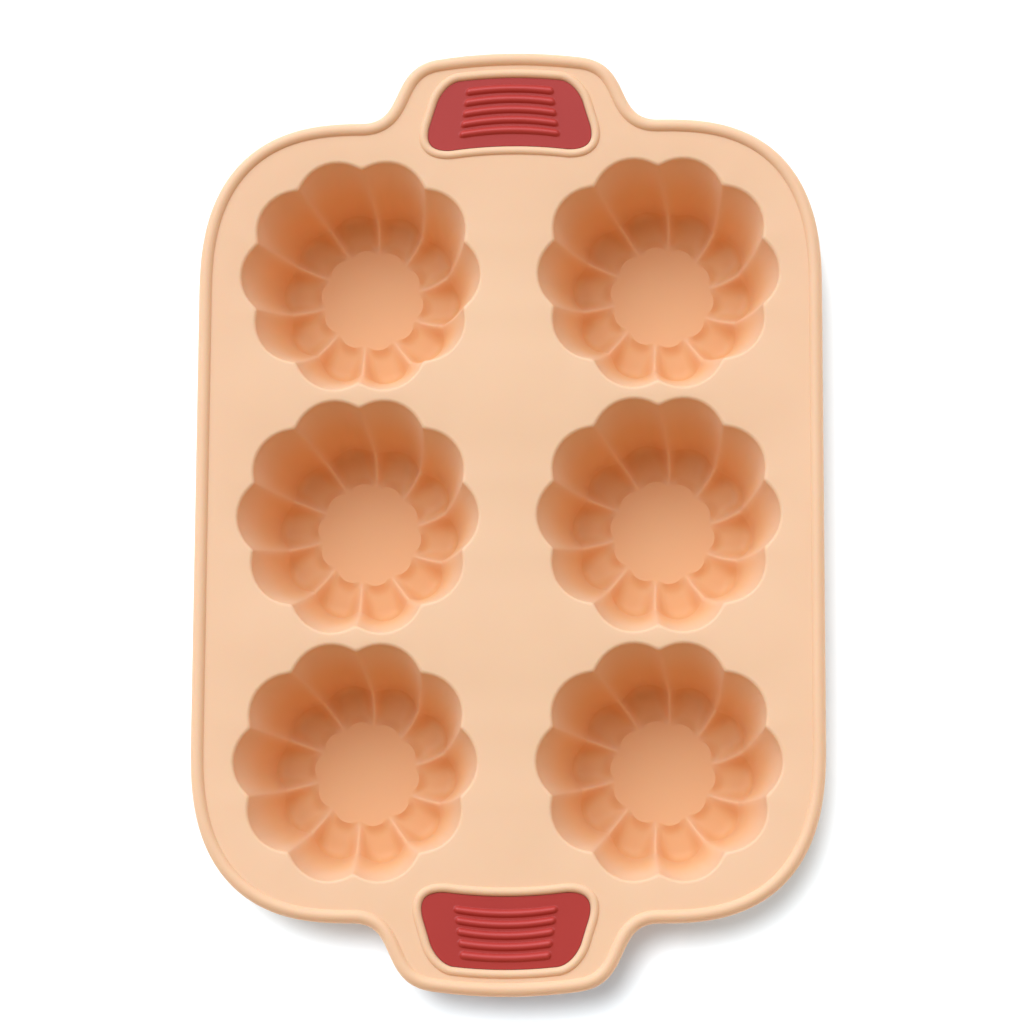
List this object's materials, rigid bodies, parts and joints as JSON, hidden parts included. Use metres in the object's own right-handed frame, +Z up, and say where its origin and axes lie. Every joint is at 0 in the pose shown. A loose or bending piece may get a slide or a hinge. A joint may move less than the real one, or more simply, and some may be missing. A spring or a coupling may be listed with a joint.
{
  "type": "silicone muffin pan",
  "caption": "Silicone muffin pan with rows of fluted flower-shaped cups under a flat deck, a wire-stiffened rim bead and a ribbed grip pad on each end handle.",
  "frame": {"origin": "centre of the bounding box at the ground, under the undersides of the cups", "axes": "+Z up out of the cups; +Y along the pan from the front handle to the rear handle; +X to the right"},
  "size_m": [0.209, 0.317, 0.0426],
  "materials": {
    "silicone": "satin peach silicone",
    "grip": "satin red silicone",
    "wire": "drawn steel wire"
  },
  "bodies": {
    "root": {"deck": "silicone", "cup_front_left": "silicone", "cup_front_right": "silicone", "cup_middle_left": "silicone", "cup_middle_right": "silicone", "cup_rear_left": "silicone", "cup_rear_right": "silicone", "rim_wire": "wire", "grip_rear": "grip", "grip_front": "grip"}
  },
  "joints": []
}
